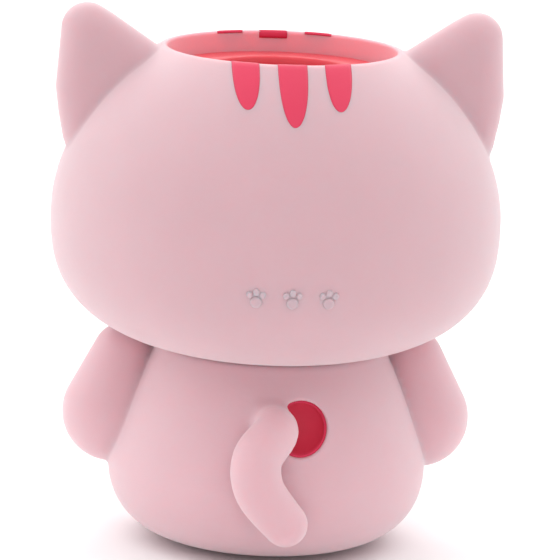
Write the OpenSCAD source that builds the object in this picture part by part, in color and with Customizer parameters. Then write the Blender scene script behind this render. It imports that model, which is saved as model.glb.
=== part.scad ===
// A kitten-shaped brush cup for pets. A soft pale shell, open at the top of the head, holds a
// removable inner cup, and a bristled sleeve lifts out of that cup for washing.
// The kitten faces +Y, so its tail and the round window beside it are on the -Y side.
// The origin is the centre of the underside, on the surface that the cup stands on.

/* [Head] */
// Half of the head's width
head_r = 47.1; // [45:0.1:49]
// Height of the widest part of the head
head_z = 69.7; // [69:0.1:70.4]
// How far the head's curve drops below its widest part
head_drop = 29.3; // [29:0.1:29.8]
// Squareness of the upper half of the head's outline, where 2 is an ellipse
top_square = 1.85; // [1.8:0.05:2]
// Squareness of the lower half of the head's outline
low_square = 2.7; // [2.5:0.05:2.9]
// Height of the rim round the open top
rim_z = 104.7; // [104.2:0.1:105.2]
// Outer radius of the rim
rim_r = 25; // [24.8:0.1:25.6]

/* [Torso] */
// Half of the torso's width at its widest
torso_r = 33.5; // [32.8:0.1:34.2]
// Height of the torso's widest part
torso_z = 17; // [16:0.5:18]
// Squareness of the torso's lower edge, where 2 is an ellipse
torso_square = 2.3; // [2:0.1:2.6]
// Half of the torso's width where the head sits on it
neck_r = 23.6; // [23.4:0.1:24]
// Height of the crease between head and torso
neck_z = 42.2; // [42:0.1:42.4]
// Radius of the flat underside
base_r = 15.5; // [15:0.25:17]
// Radius of the round window beside the tail
window_r = 5.6; // [4.5:0.1:5.8]

/* [Shells] */
// Wall of the head and torso shells
wall = 2.4; // [2:0.1:2.6]
// Depth of the coloured inlays
inlay_depth = 1.2; // [1:0.1:1.4]
// Gap round an inlay or a plug
inlay_gap = 0.05; // [0.03:0.01:0.1]

/* [Cup and sleeve] */
// Outer radius of the inner cup at its top
cup_r = 18.1; // [17.4:0.1:18.2]
// Wall of the inner cup
cup_wall = 1.5; // [1.2:0.1:1.7]
// Wall of the bristled sleeve
sleeve_wall = 1.2; // [1:0.1:1.4]
// Gap between the cup and the sleeve
sleeve_gap = 0.3; // [0.3:0.05:0.5]
// Length of the wall bristles
bristle_len = 4.2; // [3:0.2:5]
// Rings of wall bristles
bristle_rings = 8; // [6:1:9]
// Bristles in each ring
ring_count = 12; // [8:1:14]

/* [Hidden] */
$fn = 48;
// Cavities and gaps
head_rise = (rim_z - head_z) / pow(1 - pow(rim_r / head_r, top_square), 1 / top_square);
base_z = 0.6;
pad_r = 14.2;
pad_thick = 1.4;
floor_z = 3.4;
lip = 0.4;
throat_r = 24;
hollow_top = 101;
ledge_z = 97.5;
ledge_r = 20.2;
ledge_thick = 1.6;
spigot_r = neck_r - 2.6;
spigot_in = spigot_r - 0.8;
spigot_z = neck_z - 5.5;
seat_h = 3.2;
taper = 1.5;
cup_z = 4.2;
cup_flange = 23.5;
flange_thick = 1.4;
sleeve_flange = 23.1;
sleeve_base = cup_z + cup_wall + 0.4;
cup_top = ledge_z + 0.05 + flange_thick;
sleeve_top = cup_top + 0.05 + flange_thick;
sleeve_r = cup_r - cup_wall - sleeve_gap;
// Bristles
root_depth = 0.4;
first_ring_z = 17;
ring_step = (sleeve_top - 14 - first_ring_z) / (bristle_rings - 1);
// Radius and number of bristles of each ring on the sleeve's floor
floor_rings = [[0, 1], [4.6, 6], [9, 11]];
// Outline steps
arc_steps = 22;
inner_steps = 16;
reach = 60;
// Ears
ear_tip = [40.6, 0, 107.6];
ear_tip_r = 5.4;
ear_inner = [29, 0, 101];
ear_inner_r = 4.6;
ear_outer = [40.1, 0, 86];
ear_outer_r = 5.1;
ear_middle = [40.2, 0, 95.6];
ear_middle_r = 6.6;
ear_panel_outline = [[33.6, 101.4], [39.2, 108.6], [42.4, 108.4], [44.2, 97], [42.4, 94.8]];
// Arms
shoulder = [31, 4, 36.8];
shoulder_r = 6.4;
paw = [32.7, 5, 25.3];
paw_r = 10.8;
arm_plug_r = 3;
arm_plug_z = 31;
arm_plug_x = 24;
arm_plug_len = 8;
// Tail: points of the centre line, each with the radius there, from the root to the tip
tail_path = [
    [-3.2, -25.6, 31.0, 3.8],
    [-1.0, -31.8, 30.3, 4.6],
    [-4.9, -35.7, 25.4, 5.1],
    [-4.3, -37.4, 19.2, 5.1],
    [1.1, -37.7, 12.4, 4.6]
];
tail_steps = 4;
tail_sides = 14;
tail_plug = [-4.4, -24, 31.8];
tail_plug_r = 1.8;
tail_plug_len = 6;
window = [4.4, 30.0];
insert_wall = 0.9;
insert_end = -22;
insert_recess = 0.6;
// Stripes: sideways place, width and length of the three tongues at each side of the rim
stripes = [[-9.4, 5.6, 8], [0, 6.1, 10.8], [9.4, 5.6, 8]];
// Raised row of paw prints
print_z = 60.8;
print_step = 9;
print_raise = 0.4;
// Face
eye_x = 17.5;
eye_z = 66;
eye_w = 6.4;
eye_h = 8.2;
nose_z = 59.5;
nose_w = 5;
nose_h = 3.2;
mouth_r = 2.6;
line_r = 0.45;
relief = 0.35;
trim_depth = 0.75;
eye_raise = 0.5;
nose_raise = 0.6;
skin_bite = 0.3;
whisker_x = 27;
whisker_len = 8;

// ---- Outlines ----

// Squareness and height of the part of the head's outline above or below its widest part.
function square_of(up) = up ? top_square : low_square;
function height_of(up, inset) = (up ? head_rise : head_drop) - inset;

// Half-width of the head's outline at height z, moved inwards by inset.
function head_radius(z, inset = 0) =
    let (up = z > head_z, e = square_of(up))
    (head_r - inset) * pow(1 - pow(abs(z - head_z) / height_of(up, inset), e), 1 / e);

// A point of the head's outline at angle a, from 0 at its widest to 90 at its top.
function head_point(a, inset) =
    let (up = a > 0, e = 2 / square_of(up))
    [(head_r - inset) * pow(cos(a), e), head_z + sign(a) * height_of(up, inset) * pow(abs(sin(a)), e)];
function head_curve(from, to, inset, steps) =
    [for (i = [0:steps]) head_point(from + (to - from) * i / steps, inset)];
// The angle at which the outline has a given height above the middle, or a given radius below it.
function angle_at_z(z, inset) = asin(pow((z - head_z) / (head_rise - inset), top_square / 2));
function angle_at_r(r, inset) = acos(pow(r / (head_r - inset), low_square / 2));

// The torso's outline from its flat underside to the neck, moved inwards by inset.
function torso_upper(z, inset) =
    torso_r - inset - (torso_r - neck_r) * pow((z - torso_z) / (neck_z - torso_z), 1.3);
function torso_lower(a, inset, bottom) =
    let (e = 2 / torso_square, flat = base_r - inset / 2)
    [flat + (torso_r - inset - flat) * pow(sin(a), e), torso_z - (torso_z - bottom) * pow(cos(a), e)];
function torso_curve(inset, bottom, steps) = concat(
    [for (i = [0:steps]) torso_lower(90 * i / steps, inset, bottom)],
    [for (i = [1:steps]) let (z = torso_z + (neck_z - torso_z) * i / steps) [torso_upper(z, inset), z]]
);
// The torso's inner wall, from the seat of the head's collar down to the floor.
function torso_inner() =
    let (c = torso_curve(wall, floor_z, 9), n = len(c) - 1)
    [for (i = [0:n]) if (c[n - i][1] < neck_z - seat_h - 0.1) c[n - i]];

// Share of a stripe's half-width at t, from 0 at the rim to 1 at its rounded tip.
function tongue(t) = sqrt(1 - pow(t, 2.3));

// ---- Shared shapes ----

// The head and the torso filled in, a little larger than their skin, to cut what is fixed to them.
module head_solid() {
    top = angle_at_z(rim_z - 1, -inlay_gap);
    rotate_extrude() polygon(concat(
        [[0, head_z - head_drop]],
        head_curve(-89, top, -inlay_gap, arc_steps),
        [[0, rim_z - 1]]
    ));
}

module torso_solid(inset = -inlay_gap) {
    rotate_extrude() polygon(concat([[0, base_z]], torso_curve(inset, base_z, 10), [[0, neck_z]]));
}

// The outer layer of the head from depth below its surface to height above it.
module head_layer(depth, height, low, high) {
    rotate_extrude() polygon(concat(
        [for (i = [0:10]) let (z = low + (high - low) * i / 10) [head_radius(z, -height), z]],
        [for (i = [0:10]) let (z = high - (high - low) * i / 10) [head_radius(z, depth), z]]
    ));
}

// The layer that a stripe fills: the head's outer skin, and the rim's top edge over to the throat.
// Standing proud of the skin by a margin, the same layer cuts the pocket for the stripe.
module stripe_layer(proud) {
    low = rim_z - 14;
    inner_top = rim_z - inlay_depth;
    rotate_extrude() polygon(concat(
        [for (i = [0:12]) let (z = low + (rim_z - lip - low) * i / 12) [head_radius(z) + proud, z]],
        [[rim_r - lip + proud, rim_z + proud], [throat_r + lip - proud, rim_z + proud],
         [throat_r - proud, rim_z - lip], [throat_r - proud, inner_top]],
        [for (i = [0:12]) let (z = inner_top - (inner_top - low) * i / 12)
            [head_radius(z) - inlay_depth, z]]
    ));
}

// A stripe seen square on, extruded towards the back (side = -1) or the front (side = 1).
module stripe_prism(stripe, side, gap) {
    width = stripe[1] - 2 * gap;
    length = stripe[2] - gap;
    steps = 8;
    share = [for (i = [1:steps - 1]) sin(90 * i / steps)];
    flip = side < 0 ? 0 : 180;
    rotate([0, 0, flip]) translate([stripe[0], 0, rim_z]) rotate([90, 0, 0]) linear_extrude(reach)
        polygon(concat(
            [[-width / 2, 3], [-width / 2, 0]],
            [for (t = share) [-width / 2 * tongue(t), -length * t]],
            [[0, -length]],
            [for (i = [1:steps - 1]) let (t = share[steps - 1 - i]) [width / 2 * tongue(t), -length * t]],
            [[width / 2, 0], [width / 2, 3]]
        ));
}

module stripe(index, side, gap = inlay_gap, proud = 0) {
    intersection() {
        stripe_layer(proud);
        stripe_prism(stripes[index], side, gap);
    }
}

// ---- Shell ----

module head_turned() {
    rotate_extrude() polygon(concat(
        head_curve(angle_at_z(rim_z - lip, 0), -angle_at_r(neck_r, 0), 0, arc_steps),
        [[spigot_r, neck_z + 0.05], [spigot_r, spigot_z], [spigot_in, spigot_z]],
        head_curve(-angle_at_r(spigot_in, wall), angle_at_z(hollow_top, wall), wall, inner_steps),
        [[throat_r + 2, ledge_z - ledge_thick], [ledge_r, ledge_z - ledge_thick], [ledge_r, ledge_z],
         [throat_r, ledge_z], [throat_r, rim_z - lip], [throat_r + lip, rim_z], [rim_r - lip, rim_z]]
    ));
}

// One raised paw print: a pad and three toes, square to the skin on the back of the head.
module paw_print(turn) {
    pads = [[0, -0.7, 1.2], [-1.35, 0.9, 0.6], [0, 1.45, 0.65], [1.35, 0.9, 0.6]];
    tilt = atan(head_radius(print_z + 0.5) - head_radius(print_z - 0.5));
    rotate([0, 0, turn]) translate([0, -head_radius(print_z), print_z]) rotate([90 + tilt, 0, 0])
        for (pad = pads) translate([pad[0], pad[1], -1])
            cylinder(r = pad[2], h = 1 + print_raise);
}

module head_shell() {
    color("pink") difference() {
        union() {
            head_turned();
            for (step = [-1:1]) paw_print(step * print_step);
        }
        for (side = [-1, 1], i = [0:2]) stripe(i, side, 0, 1);
        for (x = [-eye_x, eye_x]) eye_shape(x, trim_depth + inlay_gap, 0.1, 1);
        nose_shape(trim_depth + inlay_gap, 0.1, 1);
    }
}

module torso_shell() {
    color("pink") difference() {
        rotate_extrude() polygon(concat(
            [[0, pad_thick], [pad_r + 0.1, pad_thick], [pad_r + 0.1, base_z]],
            torso_curve(0, base_z, 10),
            [[spigot_r + 0.1, neck_z], [spigot_r + 0.1, neck_z - seat_h]],
            torso_inner(),
            [[0, floor_z]]
        ));
        translate([window[0], 0, window[1]]) rotate([90, 0, 0]) cylinder(r = window_r, h = reach);
        translate([tail_plug[0], 0, tail_plug[2]]) rotate([90, 0, 0])
            cylinder(r = tail_plug_r + inlay_gap, h = reach);
        for (side = [-1, 1]) translate([0, shoulder[1], arm_plug_z]) rotate([0, 90 * side, 0])
            cylinder(r = arm_plug_r + inlay_gap, h = reach);
    }
}

module ear_block() {
    hull() {
        translate(ear_tip) sphere(r = ear_tip_r, $fn = 32);
        translate(ear_inner) sphere(r = ear_inner_r, $fn = 32);
        translate(ear_outer) sphere(r = ear_outer_r, $fn = 32);
        translate(ear_middle) sphere(r = ear_middle_r, $fn = 32);
    }
}

// The outline of the coloured panel let into the front of an ear, as a prism.
module ear_panel(gap) {
    translate([0, 1, 0]) rotate([90, 0, 180]) mirror([1, 0, 0]) linear_extrude(9)
        offset(delta = -gap) polygon(ear_panel_outline);
}

module right_ear_body() {
    difference() {
        ear_block();
        head_solid();
        difference() {
            ear_panel(0);
            translate([0, -inlay_depth, 0]) ear_block();
        }
    }
}

module right_ear_panel() {
    difference() {
        intersection() {
            ear_block();
            ear_panel(inlay_gap);
        }
        translate([0, -inlay_depth, 0]) ear_block();
    }
}

module ear(side) {
    color("pink") mirror([side < 0 ? 1 : 0, 0, 0]) right_ear_body();
}

module ear_lining(side) {
    color("hotpink") mirror([side < 0 ? 1 : 0, 0, 0]) right_ear_panel();
}

// An arm rests on the torso's flank, and its round plug is pressed into the torso's wall.
module arm(side) {
    color("pink") union() {
        difference() {
            mirror([side < 0 ? 1 : 0, 0, 0]) hull() {
                translate(shoulder) sphere(r = shoulder_r, $fn = 32);
                translate(paw) sphere(r = paw_r, $fn = 32);
            }
            torso_solid();
        }
        translate([side * arm_plug_x, shoulder[1], arm_plug_z]) rotate([0, 90 * side, 0])
            cylinder(r = arm_plug_r, h = arm_plug_len);
    }
}

// ---- Tail ----

function unit(v) = v / norm(v);
// A smooth curve through the tail's points: stretch i of it, at t from 0 to 1.
function tail_at(i, t) =
    let (last = len(tail_path) - 1,
         a = tail_path[max(i - 1, 0)], b = tail_path[i], c = tail_path[i + 1], d = tail_path[min(i + 2, last)])
    0.5 * (2 * b + (c - a) * t + (2 * a - 5 * b + 4 * c - d) * t * t + (3 * b - a - 3 * c + d) * t * t * t);
tail_line = concat(
    [for (i = [0:len(tail_path) - 2], k = [0:tail_steps - 1]) tail_at(i, k / tail_steps)],
    [tail_path[len(tail_path) - 1]]
);
function path_point(i) = [tail_line[i][0], tail_line[i][1], tail_line[i][2]];
function path_direction(i) =
    unit(path_point(min(i + 1, len(tail_line) - 1)) - path_point(max(i - 1, 0)));
function ring_points(centre, direction, radius) =
    let (u = unit(cross(direction, [1, 0.2, 0])), v = cross(direction, u))
    [for (k = [0:tail_sides - 1]) let (a = 360 * k / tail_sides)
        centre + radius * (cos(a) * u + sin(a) * v)];

module tail_sweep() {
    last = len(tail_line) - 1;
    cap = 5;
    end = path_direction(last);
    rings = concat(
        [for (i = [0:last]) ring_points(path_point(i), path_direction(i), tail_line[i][3])],
        [for (k = [1:cap]) let (a = 85 * k / cap, r = tail_line[last][3])
            ring_points(path_point(last) + r * sin(a) * end, end, r * cos(a))]
    );
    n = tail_sides;
    m = len(rings);
    polyhedron(
        points = [for (ring = rings) for (p = ring) p],
        faces = concat(
            [[for (k = [0:n - 1]) k]],
            [for (i = [0:m - 2]) for (k = [0:n - 1]) let (k2 = (k + 1) % n)
                each [[i * n + k, (i + 1) * n + k, (i + 1) * n + k2], [i * n + k, (i + 1) * n + k2, i * n + k2]]],
            [[for (k = [0:n - 1]) (m - 1) * n + n - 1 - k]]
        )
    );
}

module tail() {
    color("mistyrose") union() {
        difference() {
            tail_sweep();
            torso_solid();
        }
        translate(tail_plug) rotate([90, 0, 0]) cylinder(r = tail_plug_r, h = tail_plug_len);
    }
}

// A blind cup of the inner colour that lines the window. Its mouth follows the torso's curve.
module window_insert() {
    color("hotpink") difference() {
        intersection() {
            torso_solid(insert_recess);
            translate([window[0], insert_end, window[1]]) rotate([90, 0, 0])
                cylinder(r = window_r - inlay_gap, h = reach);
        }
        translate([window[0], insert_end - insert_wall, window[1]]) rotate([90, 0, 0])
            cylinder(r = window_r - insert_wall, h = reach);
    }
}

module base_pad() {
    color("hotpink") cylinder(r = pad_r, h = pad_thick);
}

// ---- Face ----

module eye_shape(x, depth, gap, height) {
    intersection() {
        head_layer(depth, height, eye_z - 7, eye_z + 7);
        translate([x, reach, eye_z]) rotate([90, 0, 0]) linear_extrude(reach)
            scale([(eye_w + gap) / (eye_h + gap), 1]) circle(d = eye_h + gap);
    }
}

module nose_shape(depth, gap, height) {
    intersection() {
        head_layer(depth, height, nose_z - 5, nose_z + 5);
        translate([0, reach, nose_z]) rotate([90, 0, 0]) linear_extrude(reach)
            scale([1, nose_h / nose_w]) circle(d = nose_w + gap);
    }
}

module mouth() {
    color("hotpink") intersection() {
        head_layer(skin_bite, relief, nose_z - 8, nose_z);
        union() for (x = [-mouth_r, mouth_r]) translate([x, reach, nose_z - 2.2])
            rotate([90, 0, 0]) linear_extrude(reach) difference() {
                circle(r = mouth_r + line_r - 0.02);
                circle(r = mouth_r - line_r);
                translate([-5, 0]) square([10, 5]);
            }
    }
}

module whiskers(side) {
    color("hotpink") intersection() {
        head_layer(skin_bite, relief, nose_z - 9, nose_z + 9);
        union() for (i = [-1:1]) translate([side * whisker_x, reach, nose_z + 1 + i * 4])
            rotate([90, 0, 0]) rotate([0, 0, side * i * 9]) linear_extrude(reach)
                square([whisker_len, 2 * line_r], center = true);
    }
}

// ---- Cup and sleeve ----

module inner_cup() {
    color("deeppink") difference() {
        union() {
            rotate_extrude() polygon([[0, cup_z], [cup_r - taper - 2, cup_z], [cup_r - taper, cup_z + 2],
                                      [cup_r, cup_top], [0, cup_top]]);
            translate([0, 0, ledge_z + 0.05]) cylinder(r = cup_flange, h = flange_thick);
        }
        translate([0, 0, cup_z + cup_wall])
            cylinder(r1 = cup_r - cup_wall - taper, r2 = cup_r - cup_wall, h = cup_top - cup_z - cup_wall);
    }
}

// Radius of the sleeve's inner wall at height z.
function sleeve_inner(z) =
    sleeve_r - sleeve_wall - taper * (sleeve_top - z) / (sleeve_top - sleeve_base);

module bristle(length) {
    cylinder(r1 = 0.95, r2 = 0.5, h = length, $fn = 16);
}

// The bristles' roots are set a little into the sleeve's wall and floor.
module wall_bristles() {
    color("hotpink") for (row = [0:bristle_rings - 1], k = [0:ring_count - 1]) {
        z = first_ring_z + row * ring_step;
        rotate([0, 0, 360 * (k + (row % 2) / 2) / ring_count]) translate([sleeve_inner(z) + root_depth, 0, z])
            rotate([0, -90, 0]) bristle(bristle_len + root_depth);
    }
}

module floor_bristles() {
    color("hotpink") for (ring = floor_rings, k = [0:ring[1] - 1])
        rotate([0, 0, 360 * k / ring[1]]) translate([ring[0], 0, sleeve_base + sleeve_wall - root_depth])
            bristle(bristle_len + root_depth);
}

module brush_sleeve() {
    floor_top = sleeve_base + sleeve_wall;
    color("hotpink") difference() {
        union() {
            translate([0, 0, sleeve_base])
                cylinder(r1 = sleeve_r - taper, r2 = sleeve_r, h = sleeve_top - sleeve_base);
            translate([0, 0, cup_top + 0.05]) cylinder(r = sleeve_flange, h = flange_thick);
        }
        translate([0, 0, floor_top])
            cylinder(r1 = sleeve_inner(floor_top), r2 = sleeve_inner(sleeve_top), h = sleeve_top - floor_top);
    }
}

head_shell();
torso_shell();
ear(-1);  // left_ear
ear(1);  // right_ear
ear_lining(-1);  // left_ear_lining
ear_lining(1);  // right_ear_lining
arm(-1);  // left_arm
arm(1);  // right_arm
tail();
window_insert();
base_pad();
color("hotpink") stripe(0, -1);  // rear_left_stripe
color("hotpink") stripe(1, -1);  // rear_middle_stripe
color("hotpink") stripe(2, -1);  // rear_right_stripe
color("hotpink") stripe(2, 1);  // front_left_stripe
color("hotpink") stripe(1, 1);  // front_middle_stripe
color("hotpink") stripe(0, 1);  // front_right_stripe
color("black") eye_shape(-eye_x, trim_depth, 0, eye_raise);  // left_eye
color("black") eye_shape(eye_x, trim_depth, 0, eye_raise);  // right_eye
color("hotpink") nose_shape(trim_depth, 0, nose_raise);  // nose
mouth();
whiskers(-1);  // left_whiskers
whiskers(1);  // right_whiskers
inner_cup();
brush_sleeve();
wall_bristles();
floor_bristles();
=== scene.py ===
"""Builds the visual model of a kitten-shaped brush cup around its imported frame.

The soft skins of the head and the body are each one smooth surface, found as the zero level of a
field that blends the kitten's masses. Small details are laid on those skins, and the turned pieces
inside are lathed. Everything is in metres, in the frame's own axes: the tail is on the -Y side.
"""

import math
import random

import bmesh
import bpy
import numpy as np
from bpy.props import FloatProperty, FloatVectorProperty, PointerProperty
from mathutils import Matrix, Vector


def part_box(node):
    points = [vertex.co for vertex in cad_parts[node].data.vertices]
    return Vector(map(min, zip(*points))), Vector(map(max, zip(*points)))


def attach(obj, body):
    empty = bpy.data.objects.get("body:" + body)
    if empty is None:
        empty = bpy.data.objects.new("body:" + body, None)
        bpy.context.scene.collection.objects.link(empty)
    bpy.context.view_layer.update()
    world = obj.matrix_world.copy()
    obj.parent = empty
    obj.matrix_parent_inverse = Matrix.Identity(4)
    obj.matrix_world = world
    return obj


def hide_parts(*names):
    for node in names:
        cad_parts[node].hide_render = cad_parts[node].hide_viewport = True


bl_info = {
    "name": "Kitten Brush Cup",
    "version": (1, 0, 0),
    "blender": (4, 5, 0),
    "location": "View3D > Sidebar > Kitten Cup",
    "description": "Builds a soft kitten-shaped brush cup with a lift-out cup and bristled sleeve",
    "category": "Object",
}

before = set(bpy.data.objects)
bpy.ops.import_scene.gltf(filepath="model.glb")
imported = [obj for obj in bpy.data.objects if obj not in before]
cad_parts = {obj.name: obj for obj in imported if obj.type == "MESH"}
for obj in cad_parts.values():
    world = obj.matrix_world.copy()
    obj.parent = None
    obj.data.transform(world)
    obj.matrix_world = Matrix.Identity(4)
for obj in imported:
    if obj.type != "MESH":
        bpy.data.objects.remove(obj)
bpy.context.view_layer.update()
MM = 0.001

# The hole in the throat's ledge, and how far the ledge lies below the cup's top.
LEDGE_R = 20.2 * MM
LEDGE_DROP = 1.45 * MM
FLANGE_THICK = 1.4 * MM
CUP_R = 18.1 * MM
CUP_WALL = 1.5 * MM
CUP_TAPER = 1.5 * MM
SLEEVE_R = 16.3 * MM
SLEEVE_WALL = 1.2 * MM
SLEEVE_TAPER = 1.5 * MM
# Turned outlines start this far from their axis.
AXIS_GAP = 0.02 * MM
# The torso and its limbs take the head's colour lifted by this share: painted light, standing in for the
# brighter light the torso gets.
BODY_PAINTED_LIGHT = 1.14
# The cup sits a little left of and above the middle of the view.
SHIFT_X = 0.0116
SHIFT_Y = -0.0143

HEAD_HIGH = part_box("head_shell")[1]
TORSO_LOW, TORSO_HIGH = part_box("torso_shell")
CUP_LOW, CUP_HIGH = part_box("inner_cup")
SLEEVE_LOW, SLEEVE_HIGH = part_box("brush_sleeve")
INSERT_LOW, INSERT_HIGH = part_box("window_insert")
PAD_LOW, PAD_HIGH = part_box("base_pad")
EAR_LOW, EAR_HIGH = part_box("right_ear")
ARM_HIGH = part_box("right_arm")[1]
TAIL_LOW, TAIL_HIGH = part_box("tail")


# ---------------------------------------------------------------- settings


def number(name, description, default, **kind):
    return FloatProperty(name=name, description=description, default=default, **kind)


def length(name, description, default):
    return number(name, description, default, unit="LENGTH")


def angle(name, description, degrees):
    return number(name, description, math.radians(degrees), subtype="ANGLE")


def shade(name, description, default):
    return FloatVectorProperty(
        name=name, description=description, subtype="COLOR", size=3, min=0, max=1, default=default
    )


class ShapeSettings(bpy.types.PropertyGroup):
    """Sizes of the soft shell and of the pieces in it."""

    head_z: length("Head middle", "Height of the widest part of the head", 69.7 * MM)
    top_square: number(
        "Upper squareness", "Squareness of the head's upper outline, where 2 is an ellipse", 1.85
    )
    low_square: number(
        "Lower squareness", "Squareness of the head's lower outline, where 2 is an ellipse", 2.7
    )
    head_drop: length("Head drop", "How far the head's curve drops below its widest part", 29.3 * MM)
    rim_r: length("Rim radius", "Outer radius of the rim round the open top", 25 * MM)
    wall: length("Wall", "Thickness of the soft shell", 2.4 * MM)
    rim_wall: length("Rim wall", "Thickness of the shell at the thin edge of the open top", 1.0 * MM)
    torso_z: length("Torso middle", "Height of the widest part of the torso", 17 * MM)
    torso_square: number(
        "Torso squareness", "Squareness of the torso's lower edge, where 2 is an ellipse", 2.3
    )
    neck_r: length("Neck radius", "Radius of the torso where the head sits on it", 23.6 * MM)
    base_r: length("Base radius", "Radius of the torso's flat underside", 15.5 * MM)
    ear_blend: length("Ear blend", "Size of the soft fillet between the ears and the head", 1.0 * MM)
    skin_step: length("Skin fineness", "Distance between neighbouring points of the soft skins", 0.85 * MM)


class FinishSettings(bpy.types.PropertyGroup):
    """Colours of the silicone and plastic finishes."""

    pale: shade("Pale skin", "Colour of the soft outer shell", (0.62, 0.39, 0.43))
    hot: shade("Stripes", "Colour of the stripes and the other inlays", (0.70, 0.026, 0.085))
    cup: shade("Inner cup", "Colour of the lift-out cup", (0.76, 0.008, 0.022))
    # The throat colour is painted pink bounce light and shade, mixed into the pale skin down the throat's
    # wall.
    throat: shade("Throat", "Colour that the shell deepens to inside its open top", (1.0, 0.40, 0.47))
    sleeve: shade("Sleeve", "Colour of the bristled sleeve", (0.68, 0.038, 0.058))


class StageSettings(bpy.types.PropertyGroup):
    """Camera and studio light."""

    azimuth: angle("Azimuth", "Direction of the camera round the cup", -5)
    elevation: angle("Elevation", "Height of the camera above the horizon", 11.48)
    roll: angle("Roll", "Tilt of the camera", 2.28)
    distance: length("Distance", "Distance of the camera from the middle of the cup", 0.85)
    view_width: length("View width", "Width of what the camera sees at the cup", 117.6 * MM)


class KittenCupSettings(bpy.types.PropertyGroup):
    """Everything about the kitten cup that a user would change."""

    shape: PointerProperty(type=ShapeSettings)
    finish: PointerProperty(type=FinishSettings)
    stage: PointerProperty(type=StageSettings)


def shape():
    return bpy.context.scene.kitten_cup.shape


def finish():
    return bpy.context.scene.kitten_cup.finish


# ---------------------------------------------------------------- fields


def smooth_min(a, b, k):
    """The smaller of two fields, with a fillet of about k where they meet."""
    h = np.clip(0.5 + 0.5 * (b - a) / k, 0, 1)
    return b + (a - b) * h - k * h * (1 - h)


def smooth_max(a, b, k):
    return -smooth_min(-a, -b, k)


def squircle(u, v, width, height, power):
    """Distance, near its surface, to a curve of the given half-width, half-height and squareness."""
    a = np.abs(u) / width
    b = np.abs(v) / height
    total = np.maximum(a**power + b**power, 1e-9)
    level = total ** (1 / power)
    slope_u = total ** (1 / power - 1) * a ** (power - 1) / width
    slope_v = total ** (1 / power - 1) * b ** (power - 1) / height
    return (level - 1) / np.maximum(np.hypot(slope_u, slope_v), 1)


def round_cone(p, start, end, start_r, end_r):
    """Distance to the hull of two balls."""
    axis = end - start
    length2 = axis @ axis
    shrink = start_r - end_r
    spare = length2 - shrink * shrink
    from_start = p - start
    y = from_start @ axis
    z = y - length2
    x2 = np.sum((from_start * length2 - y[..., None] * axis) ** 2, axis=-1)
    y2 = y * y * length2
    z2 = z * z * length2
    k = np.sign(shrink) * shrink * shrink * x2
    side = (np.sqrt(x2 * spare / length2) + y * shrink) / length2 - start_r
    beyond = np.sqrt(x2 + z2) / length2 - end_r
    before = np.sqrt(x2 + y2) / length2 - start_r
    side = np.where(np.sign(y) * spare * y2 < k, before, side)
    return np.where(np.sign(z) * spare * z2 > k, beyond, side)


def head_outline(r, z, inset=0.0):
    """Distance to the head's turned outline, moved inwards by inset."""
    s = shape()
    widest = HEAD_HIGH.x
    rim_share = (1 - (s.rim_r / widest) ** s.top_square) ** (1 / s.top_square)
    rise = (HEAD_HIGH.z - s.head_z) / rim_share
    above = z > s.head_z
    upper = squircle(r, z - s.head_z, widest - inset, rise - inset, s.top_square)
    lower = squircle(r, z - s.head_z, widest - inset, s.head_drop - inset, s.low_square)
    return np.where(above, upper, lower)


# The circles whose hull is the ear's outline in the XZ plane: x, z and radius of each.
EAR_CIRCLES = np.array([
    [40.6, 107.6, 5.4],
    [29.0, 101.0, 4.6],
    [40.1, 86.0, 5.1],
    [40.2, 95.6, 6.6],
]) * MM
EAR_EDGE = 5.5 * MM
EAR_THICK = 5.3 * MM
EAR_DISH = 1.6 * MM


def ear_outline(x, z):
    """Distance to the ear's outline in its own plane, less than 0 inside it."""
    best = np.full(np.shape(x), -1.0)
    for turn in np.linspace(0, 2 * math.pi, 96, endpoint=False):
        c, s = math.cos(turn), math.sin(turn)
        support = max(c * cx + s * cz + r for cx, cz, r in EAR_CIRCLES)
        best = np.maximum(best, c * x + s * z - support)
    return best


def ear_field(p):
    """Distance to the ears: soft slabs with round edges and a shallow dish in their front."""
    out = np.full(p.shape[:-1], 20 * MM)
    near = (np.abs(p[..., 0]) > 22 * MM) & (p[..., 2] > EAR_LOW.z - 6 * MM) & (np.abs(p[..., 1]) < 11 * MM)
    q = p[near]
    if len(q):
        inside = ear_outline(np.abs(q[:, 0]), q[:, 2])
        edge = np.maximum(inside + EAR_EDGE, 0)
        level = np.hypot(edge, q[:, 1] * EAR_EDGE / EAR_THICK) - EAR_EDGE
        middle = np.clip(-inside / EAR_EDGE - 0.25, 0, 1)
        dish = EAR_DISH * middle * middle * (3 - 2 * middle)
        out[near] = level + dish * np.clip(q[:, 1] / (2 * MM), 0, 1)
    return out


def head_field(p):
    """Distance to the head's soft shell with both ears."""
    s = shape()
    r = np.hypot(p[..., 0], p[..., 1])
    z = p[..., 2]
    solid = smooth_max(head_outline(r, z), z - HEAD_HIGH.z, 0.5 * MM)
    skin = smooth_min(solid, ear_field(p), s.ear_blend)
    throat_r = s.rim_r - s.rim_wall
    ledge_z = ledge_height()
    hollow = np.maximum(head_outline(r, z, s.wall), z - (ledge_z - 1.6 * MM))
    passage = r - LEDGE_R
    throat = np.maximum(r - throat_r, ledge_z - z)
    cavity = np.minimum(np.minimum(hollow, passage), throat)
    return smooth_max(skin, -cavity, 0.5 * MM)


def ledge_height():
    """Height of the ledge in the throat, on which the cup's flange rests."""
    return CUP_HIGH.z - LEDGE_DROP


SHOULDER = np.array([30.8, 4.2, 38.1]) * MM
SHOULDER_R = 6.4 * MM
PAW = np.array([32.6, 5.2, 25.3]) * MM
PAW_R = 10.7 * MM
# Points of the tail's centre line, each with the radius there, from the root to the tip.
TAIL_PATH = np.array([
    [-2.4, -25.6, 31.0, 3.7],
    [-1.0, -31.8, 30.3, 4.6],
    [-4.9, -35.7, 25.4, 5.1],
    [-4.3, -37.4, 19.2, 5.1],
    [1.1, -37.7, 12.4, 4.6],
]) * MM


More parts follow.
